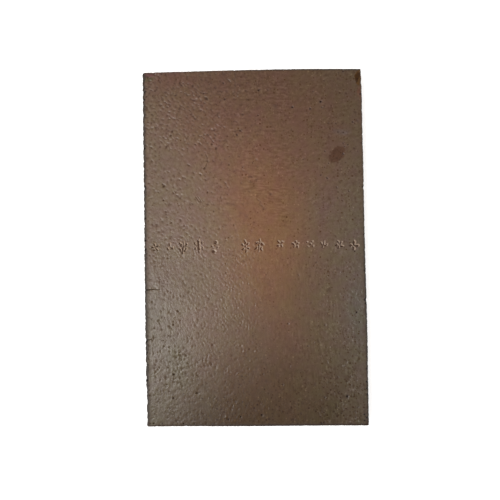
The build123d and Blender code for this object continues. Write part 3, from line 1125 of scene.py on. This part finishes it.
GROUND = (0.0705, 0.0509, 0.0290)
ZONES = [
    # x, y, rx, ry, turn, colour added or taken away
    (0, -15, 105, 200, -9, (0.0621, 0.0275, 0.0194)),  # mid middle, paler
    (7, 9, 52, 99, 4, (0.0269, 0.0007, -0.0103)),  # mid middle, paler
    (-62, 41, 51, 161, 24, (0.0024, 0.0109, 0.0099)),  # upper left, paler
    (3, -147, 133, 96, 44, (-0.0335, -0.0289, -0.0211)),  # lower middle, darker
    (8, 110, 150, 112, -35, (0.0123, -0.0059, -0.0024)),  # upper middle, paler
    (93, -43, 63, 201, 5, (0.0175, 0.0157, 0.0203)),  # lower right, paler
    (-71, 61, 104, 132, 4, (0.0519, 0.0224, 0.0172)),  # upper left, paler
    (-12, -93, 143, 62, 58, (-0.0271, -0.0184, -0.0145)),  # lower middle, darker
    (25, -66, 24, 22, 0, (0.0060, -0.0036, 0.0010)),  # a rosy patch in the lower middle
    (-62, 128, 34, 14, 0, (0.0056, -0.0040, 0.0)),  # rosy along the upper left edge
    (-58, -80, 20, 34, 10, (-0.0056, 0.0034, 0.0010)),  # greener in the lower left
    (50, 26, 20, 18, 0, (0.0, 0.0004, 0.0060)),  # a cooler patch on the right
    (77, -48, 17, 46, 0, (-0.0042, 0.0028, 0.0066)),  # cooler along the right border
    (80, -131, 17, 15, 0, (-0.0110, -0.0080, -0.0060)),  # the lower right corner, darker
]
ground = None
for x, y, rx, ry, turn, tint in ZONES:
    z = zone(x, y, rx, ry, turn)
    ground = vec("MULTIPLY_ADD", z, tint, GROUND if ground is None else ground)

# rosy and olive brindling, then patches of tone
hue = noise(mm, 15.0, 3.0, 0.55)
ground = vec("MULTIPLY", ground, blend(span(hue, 0.36, 0.64), (0.995, 1.028, 0.974), (1.014, 0.969, 1.018)))
hue2 = noise(vec("ADD", mm, (310.0, 40.0, 0.0)), 6.5, 2.0, 0.5, kind="2D")
ground = vec("MULTIPLY", ground, blend(span(hue2, 0.35, 0.65), (1.002, 1.022, 0.972), (0.998, 0.978, 1.028)))
tone = noise(vec("ADD", mm, (0.0, 500.0, 0.0)), 9.0, 3.0, 0.6, kind="2D")
ground = toned(ground, calc("MULTIPLY_ADD", calc("SUBTRACT", tone, 0.5), span(across_x, -10.0, 40.0, 0.06, 0.018), 1.0))

# marks of use and of the kiln
stain_edge = vec("ADD", mm, vec("SCALE", vec("SUBTRACT", noise(mm, 4.0, 3.0, colour=True), (0.5, 0.5, 0.5)), scale=5.0))
stain = zone(62.2, 67.4, 11.4, 7.9, 44, stain_edge)
ground = blend(span(stain, 0.14, 0.42, 0.0, 0.85), ground, (0.062, 0.027, 0.014))
scuff = zone(66.0, 84.2, 10.5, 3.4, -4, stain_edge)
ground = blend(calc("MULTIPLY", scuff, 0.55), ground, (0.094, 0.068, 0.062))
smear2 = zone(81.6, 113.5, 6.0, 9.5, 0, stain_edge)
ground = blend(span(smear2, 0.1, 0.6, 0.0, 0.75), ground, (0.104, 0.046, 0.027))
smear = zone(80.4, 124.6, 5.6, 9.2, -10, stain_edge)
burnt = zone(78.1, 124.6, 2.7, 7.6, -14, stain_edge)
ground = blend(span(smear, 0.10, 0.30), ground, blend(span(burnt, 0.1, 0.6), (0.073, 0.034, 0.007), (0.036, 0.013, 0.0)))
rim_pink = zone(-74.0, 131.0, 26.0, 3.2, 0, mm)
ground = blend(calc("MULTIPLY", rim_pink, 0.5), ground, (0.085, 0.038, 0.030))
corner_pink = zone(-78.5, 129.8, 8.0, 2.6, 3, mm)
ground = blend(span(corner_pink, 0.0, 0.6, 0.0, 0.8), ground, (0.098, 0.040, 0.038))
corner_olive = zone(-78.9, 126.9, 8.5, 2.8, 4, mm)
ground = blend(span(corner_olive, 0.0, 0.6, 0.0, 0.65), ground, (0.078, 0.062, 0.030))

# grain of the clay
plain = ground
grit = noise(mm, 0.55, 3.0, 0.65)
speck = noise(vec("ADD", mm, (77.0, 11.0, 5.0)), 1.6, 2.0, 0.5, kind="2D")
clumps = noise(vec("ADD", mm, (250.0, 130.0, 0.0)), 9.0, 1.0, 0.5, kind="2D")
gathered = span(clumps, 0.36, 0.62, 0.16, 0.62)  # grain lies in clumps on a calmer skin
ground = toned(ground, span(grit, 0.25, 0.75, 0.94, 1.06, "LINEAR"))
heart = calc("MULTIPLY", span(along_y, 40.0, 85.0), zone(0.0, 120.0, 60.0, 120.0))
ground = toned(ground, calc("MULTIPLY_ADD", calc("SUBTRACT", speck, 0.5), calc("MULTIPLY", gathered, calc("MULTIPLY_ADD", heart, 0.85, 0.62)), 1.0))
# the skin is busier towards the right and the lower end
busy = calc("ADD", calc("MULTIPLY", span(across_x, 20.0, 68.0), span(along_y, 0.0, 60.0, 0.8, 0.35)), span(vec("DOT_PRODUCT", mm, (1.0, -1.0, 0.0)), 60.0, 150.0))
speck2 = noise(placed(mm, (7.0, 81.0, 15.0), (0, 0, 24), (1.0, 1.7, 1.0)), 2.1, 1.0, 0.5, kind="2D")
ground = toned(ground, calc("MULTIPLY_ADD", calc("SUBTRACT", speck2, 0.5), calc("MULTIPLY", calc("MULTIPLY", busy, span(clumps, 0.36, 0.62, 0.25, 1.35)), 0.44), 1.0))
mottle = noise(vec("ADD", mm, (15.0, 220.0, 0.0)), 2.4, 1.0, 0.75, kind="2D")
ground = toned(ground, calc("MULTIPLY_ADD", calc("SUBTRACT", mottle, 0.5), gathered, 1.0))
# pinholes, and pale specks that are partly pale grains and partly painted glints of small bumps; thicker on the right
# and at both ends
pin_zone = calc("ADD", span(across_x, -60.0, 75.0, 0.30, 1.0), span(calc("ABSOLUTE", along_y), 50.0, 125.0, 0.0, 0.45))
pin_zone = calc("MULTIPLY_ADD", calc("MULTIPLY", span(across_x, 20.0, 70.0), span(along_y, -70.0, 10.0, 1.0, 0.0)), 1.1, pin_zone)
pin_zone = calc("MULTIPLY_ADD", span(along_y, -122.0, -82.0, 1.0, 0.0), span(across_x, -60.0, -10.0, 0.2, 1.3), pin_zone)
for offset, spacing, radius, share, tint in ((0.0, 2.7, 0.60, 0.17, (-0.42, -0.58, -0.78)), (51.0, 2.9, 0.50, 0.11, (0.46, 0.55, 0.66)), (23.0, 1.9, 0.38, 0.16, (-0.20, -0.28, -0.40))):
    cells = node_of("ShaderNodeTexVoronoi", voronoi_dimensions="2D", feature="F1", distance="EUCLIDEAN")
    plug(cells.inputs["Vector"], vec("ADD", mm, (offset, 2.0 * offset, 0.0)))
    cells.inputs["Scale"].default_value = 1.0 / spacing
    pick = node_of("ShaderNodeSeparateColor")
    plug(pick.inputs[0], cells.outputs["Color"])
    reach = calc("MULTIPLY", span(pick.outputs[1], 0.0, 1.0, 0.6, 1.3, "LINEAR"), radius / spacing)
    inside = span(calc("DIVIDE", cells.outputs["Distance"], reach), 0.6, 1.15, 1.0, 0.0)
    chosen = calc("LESS_THAN", pick.outputs[0], calc("MULTIPLY", calc("MULTIPLY", pin_zone, span(clumps, 0.36, 0.62, 0.45, 1.5)), share))
    deep = calc("MULTIPLY", span(pick.outputs[2], 0.0, 1.0, 0.5, 1.15, "LINEAR"), span(along_y, -122.0, -82.0, 1.35, 1.0))
    ground = vec("MULTIPLY", ground, vec("MULTIPLY_ADD", calc("MULTIPLY", calc("MULTIPLY", inside, chosen), deep), tint, (1.0, 1.0, 1.0)))
patches = noise(vec("ADD", mm, (600.0, 35.0, 0.0)), 16.0, 2.0, 0.5)
patched = span(patches, 0.38, 0.60, 0.35, 1.35)
# fine banding in the skin: across the upper part, lengthwise in the lower right
level = noise(placed(mm, turn=(0, 0, -4), size=(3.6, 1.0, 1.0)), 1.75, 1.0, 0.55, kind="2D")
rising = noise(placed(mm, turn=(0, 0, 24), size=(2.3, 1.0, 1.0)), 1.8, 1.0, 0.55, kind="2D")
along = calc("ADD", level, calc("MULTIPLY", calc("SUBTRACT", rising, level), span(across_x, 20.0, 42.0)))
upper = span(along_y, -25.0, 45.0)
ground = toned(ground, calc("MULTIPLY_ADD", calc("SUBTRACT", along, 0.5), calc("MULTIPLY", calc("MULTIPLY", upper, patched), calc("MULTIPLY", span(across_x, -45.0, -8.0, 0.12, 0.78), span(across_x, 15.0, 50.0, 1.0, 0.50))), 1.0))
across = noise(placed(mm, turn=(0, 0, 3), size=(1.0, 4.5, 1.0)), 1.55, 1.0, 0.55, kind="2D")
lower = calc("MULTIPLY", calc("SUBTRACT", 1.0, upper), span(across_x, -30.0, 30.0))
ground = toned(ground, calc("MULTIPLY_ADD", calc("SUBTRACT", across, 0.5), calc("MULTIPLY", calc("MULTIPLY", lower, patched), 0.54), 1.0))
# one place right of the middle stayed calm
rested = zone(30.0, -33.0, 34.0, 42.0)
ground = blend(calc("MULTIPLY", rested, 0.50), ground, plain)

# painted shade in hollows, and a painted highlight on what stands proud
ground = toned(ground, span(a_stand, -2.0, 1.5, 0.66, 1.12, "LINEAR"))
hollow = calc("MULTIPLY", calc("MULTIPLY", span(along_y, -15.0, 25.0), span(along_y, 55.0, 100.0, 1.0, 0.75)), span(across_x, -35.0, 25.0, 0.25, 0.08))
hollow = calc("MULTIPLY", hollow, span(a_stand, -1.9, -0.2, 1.0, 0.0))
ground = vec("MULTIPLY", ground, vec("MULTIPLY_ADD", hollow, (-0.80, -1.10, -1.40), (1.015, 1.015, 1.015)))
# a painted highlight: pale colour on the raised lips beside the marks, with some paler wear
ground = blend(calc("MULTIPLY", a_lip_highlight, span(across_x, -30.0, 10.0, 0.78, 0.66)), ground, (0.310, 0.225, 0.165))
# painted shade in the pits, cracks, grooves, nicks and creases: browner on the right, deepest where it is strongest
recess_shade_tint = blend(span(across_x, -30.0, 40.0), (0.36, 0.26, 0.15), (0.38, 0.17, 0.0))
ground = vec("MULTIPLY", ground, blend(a_recess_shade, (1.0, 1.0, 1.0), recess_shade_tint))
ground = vec("SCALE", ground, scale=span(a_recess_shade, 0.84, 1.02, 1.0, 0.25))

# the walls: browner, the arris darkened with painted shade and chipped paler in places
wall_tone = noise(placed(mm, size=(1.6, 1.6, 0.9)), 4.6, 6.0, 0.72)
wall_colour = blend(span(wall_tone, 0.32, 0.68), (0.050, 0.033, 0.024), (0.118, 0.068, 0.044))
at_end = span(calc("ABSOLUTE", along_y), HH - 1.4, HH - 0.7)
dragged = noise(placed(mm, size=(9.0, 9.0, 1.0)), 0.9, 3.0, 0.6)
wired = noise(placed(mm, turn=(0, 8, 0), size=(1.0, 1.0, 7.0)), 1.0, 3.0, 0.6)
scored = calc("ADD", calc("MULTIPLY", dragged, calc("SUBTRACT", 1.0, at_end)), calc("MULTIPLY", wired, at_end))
wall_colour = toned(wall_colour, span(scored, 0.3, 0.7, 0.80, 1.20, "LINEAR"))
wall_colour = toned(wall_colour, span(grit, 0.25, 0.75, 0.78, 1.22, "LINEAR"))
holes = node_of("ShaderNodeTexVoronoi", feature="F1", distance="EUCLIDEAN")
plug(holes.inputs["Vector"], vec("ADD", mm, (0.4, 0.9, 0.3)))
holes.inputs["Scale"].default_value = 1.0 / 3.1
hole_pick = node_of("ShaderNodeSeparateColor")
plug(hole_pick.inputs[0], holes.outputs["Color"])
hole_reach = span(hole_pick.outputs[1], 0.0, 1.0, 0.14, 0.34, "LINEAR")
hole = calc("MULTIPLY", span(calc("DIVIDE", holes.outputs["Distance"], hole_reach), 0.55, 1.1, 1.0, 0.0), calc("LESS_THAN", hole_pick.outputs[0], 0.45))
# painted shade inside the small holes of the walls
wall_colour = toned(wall_colour, calc("MULTIPLY_ADD", hole, -0.62, 1.0))
ground = blend(calc("MULTIPLY", a_wall, 0.9), ground, wall_colour)
bed_tone = noise(vec("ADD", mm, (900.0, 0.0, 0.0)), 18.0, 5.0, 0.62)
bed_colour = blend(span(bed_tone, 0.35, 0.65), (0.085, 0.052, 0.035), (0.165, 0.085, 0.050))
ground = blend(a_bed, ground, vec("SCALE", bed_colour, scale=span(grit, 0.2, 0.8, 0.88, 1.12, "LINEAR")))
edge_break = noise(vec("ADD", mm, (0.0, 0.0, 60.0)), 2.2, 3.0, 0.6)
# painted shade on the arris: a dark colour, browner at the lower end
arris_shade_colour = blend(span(along_y, 3.0 - HH, 6.0 - HH), (0.018, 0.006, 0.001), (0.018, 0.013, 0.009))
ground = blend(calc("MULTIPLY", span(a_arris, 0.06, 0.55), span(edge_break, 0.25, 0.6, 0.70, 0.94)), ground, arris_shade_colour)
# painted shade fading inwards from the edges
ground = toned(ground, span(a_arris, 0.0, 0.10, 1.0, 0.82, "LINEAR"))
rubbed = calc("MULTIPLY", span(edge_break, 0.66, 0.78), calc("MULTIPLY", a_arris, 0.35))
ground = blend(rubbed, ground, (0.150, 0.095, 0.066))
# painted shade inside the nicks in the arris
ground = vec("SCALE", ground, scale=span(calc("MULTIPLY", a_recess_shade, span(a_arris, 0.02, 0.25)), 0.25, 0.85, 1.0, 0.12))

# sheen: a vitrified skin, duller in hollows, on the walls and underneath
gloss = noise(vec("ADD", mm, (40.0, 90.0, 0.0)), 7.0, 4.0, 0.6)
rough = span(gloss, 0.25, 0.75, 0.28, 0.33, "LINEAR")
rough = calc("ADD", rough, calc("MULTIPLY", span(grit, 0.3, 0.7), 0.03))
rough = calc("ADD", rough, calc("MULTIPLY", a_recess_shade, span(a_recess_shade, 0.84, 1.02, 0.35, 0.60)))
rough = calc("ADD", rough, calc("MULTIPLY", span(a_stand, -1.6, -0.2, 0.22, 0.0), span(across_x, 5.0, 50.0, 1.0, 0.0)))
rough = calc("SUBTRACT", rough, calc("MULTIPLY", a_lip_highlight, 0.12))
rough = calc("ADD", rough, calc("MULTIPLY", a_arris, 0.30))
rough = calc("ADD", rough, span(a_arris, 0.0, 0.10, 0.0, 0.05))
rough = calc("ADD", rough, calc("MULTIPLY", a_wall, 0.22))
rough = calc("ADD", rough, calc("MULTIPLY", a_bed, 0.30), clamp=True)

# relief finer than the mesh, in millimetres: grain, short drag lines and pores
west_n = span(across_x, -70.0, 30.0, 1.0, 0.35)
grain = noise(placed(mm, turn=(0, 0, 6), size=(1.0, 1.7, 1.0)), 1.25, 2.0, 0.5)
finer = noise(mm, 0.5, 2.0, 0.5)
lines = noise(placed(mm, turn=(0, 0, 3), size=(1.0, 14.0, 1.0)), 1.1, 2.0, 0.5)
south_east = calc("MULTIPLY", span(across_x, -20.0, 35.0), span(along_y, 10.0, 60.0, 1.0, 0.15))
height = calc("MULTIPLY", calc("SUBTRACT", grain, 0.5), calc("MULTIPLY", calc("MULTIPLY", west_n, calc("MULTIPLY", span(along_y, -100.0, -20.0, 0.84, 1.22), span(along_y, 70.0, 90.0, 1.0, 0.9))), 0.100))
height = calc("MULTIPLY_ADD", calc("SUBTRACT", finer, 0.5), calc("MULTIPLY", west_n, 0.030), height)
height = calc("MULTIPLY_ADD", calc("SUBTRACT", lines, 0.5), calc("MULTIPLY", south_east, 0.022), height)
# a skin of sparse small bumps and dents on the right and along the lower end
rugged = calc("MULTIPLY", calc("SUBTRACT", noise(placed(mm, (31.0, 7.0, 0.0), (0, 0, 28), (1.0, 1.7, 1.0)), 1.9, 1.0, 0.4), 0.5), 7.7)
rugged = calc("MULTIPLY", calc("SIGN", rugged), calc("POWER", calc("ABSOLUTE", rugged), 2.6))
rugged_zone = calc("ADD", calc("MULTIPLY", span(across_x, 25.0, 75.0), span(along_y, -60.0, 60.0, 1.0, 0.25)), span(along_y, -125.0, -85.0, 0.34, 0.0))
rugged_zone = calc("MULTIPLY", rugged_zone, span(clumps, 0.36, 0.62, 0.15, 1.15))
height = calc("MULTIPLY_ADD", rugged, calc("MULTIPLY", rugged_zone, 0.0275), height)
pores = node_of("ShaderNodeTexVoronoi", feature="F1", distance="EUCLIDEAN")
plug(pores.inputs["Vector"], mm)
pores.inputs["Scale"].default_value = 1.0 / 2.3
pore_pick = node_of("ShaderNodeSeparateColor")
plug(pore_pick.inputs[0], pores.outputs["Color"])
open_pore = calc("MULTIPLY", span(pores.outputs["Distance"], 0.06, 0.17, 1.0, 0.0), span(pore_pick.outputs[0], 0.55, 0.6))
height = calc("MULTIPLY_ADD", open_pore, -0.06, height)
height = calc("MULTIPLY_ADD", calc("MULTIPLY", calc("SUBTRACT", scored, 0.5), a_wall), 0.12, height)
height = calc("MULTIPLY_ADD", calc("MULTIPLY", hole, a_wall), -0.16, height)
bump = node_of("ShaderNodeBump")
bump.inputs["Strength"].default_value = 1.0
bump.inputs["Distance"].default_value = 0.001
plug(bump.inputs["Height"], height)

shader = node_of("ShaderNodeBsdfPrincipled")
plug(shader.inputs["Base Color"], ground)
plug(shader.inputs["Roughness"], rough)
plug(shader.inputs["Normal"], bump.outputs[0])
shader.inputs["Specular IOR Level"].default_value = 0.32
end = node_of("ShaderNodeOutputMaterial")
nt.links.new(shader.outputs[0], end.inputs["Surface"])
mesh.materials.append(clay)

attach(tile, "root")
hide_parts("creasing_tile")

# ---------------------------------------------------------------------------
# Floor, light and camera
# ---------------------------------------------------------------------------
floor_mesh = bpy.data.meshes.new("floor")
floor_mesh.from_pydata([(-4, -4, 0), (4, -4, 0), (4, 4, 0), (-4, 4, 0)], [], [(0, 1, 2, 3)])
floor = bpy.data.objects.new("floor", floor_mesh)
bpy.context.scene.collection.objects.link(floor)
paper = bpy.data.materials.new("paper")
paper.use_nodes = True
pb = paper.node_tree.nodes["Principled BSDF"]
pb.inputs["Base Color"].default_value = (0.86, 0.86, 0.855, 1.0)
pb.inputs["Roughness"].default_value = 0.9
pb.inputs["Specular IOR Level"].default_value = 0.1
pb.inputs["Emission Color"].default_value = (1.0, 1.0, 1.0, 1.0)
pb.inputs["Emission Strength"].default_value = 0.45
floor_mesh.materials.append(paper)

world = bpy.data.worlds.new("studio")
bpy.context.scene.world = world
world.use_nodes = True
# a white tent round the object, dimmer overhead where it is open
wt = world.node_tree
tent = wt.nodes["Background"]
tent.inputs["Color"].default_value = (1.0, 0.995, 0.985, 1.0)
heading = wt.nodes.new("ShaderNodeTexCoord")
upward = wt.nodes.new("ShaderNodeSeparateXYZ")
wt.links.new(heading.outputs["Generated"], upward.inputs[0])
opening = wt.nodes.new("ShaderNodeMapRange")
opening.interpolation_type = "SMOOTHSTEP"
for key_name, value in (("From Min", 0.66), ("From Max", 0.95), ("To Min", 1.36), ("To Max", 0.22)):
    opening.inputs[key_name].default_value = value
wt.links.new(upward.outputs[2], opening.inputs["Value"])
wt.links.new(opening.outputs[0], tent.inputs["Strength"])

key = bpy.data.lights.new("softbox", "AREA")
key.shape = "RECTANGLE"
key.size, key.size_y = 0.18, 0.18
key.energy = 6.3
key.color = (1.0, 0.985, 0.965)
softbox = bpy.data.objects.new("softbox", key)
softbox.location = (-0.435, -0.165, 1.20)
aim = Vector((0.0, 0.0, 0.012)) - softbox.location
softbox.rotation_euler = aim.to_track_quat("-Z", "Y").to_euler()
bpy.context.scene.collection.objects.link(softbox)

camera_data = bpy.data.cameras.new("camera")
camera_data.sensor_width = 36.0
camera_data.lens = 50.53
camera_data.clip_start = 0.01
camera = bpy.data.objects.new("camera", camera_data)
camera.location = (0.015625, -0.016447, 0.531426)
camera.rotation_mode = "QUATERNION"
camera.rotation_quaternion = Quaternion((0.99971279, 0.01340601, 0.01822691, -0.00789969))
bpy.context.scene.collection.objects.link(camera)
bpy.context.scene.camera = camera
bpy.context.scene.view_settings.view_transform = "Standard"
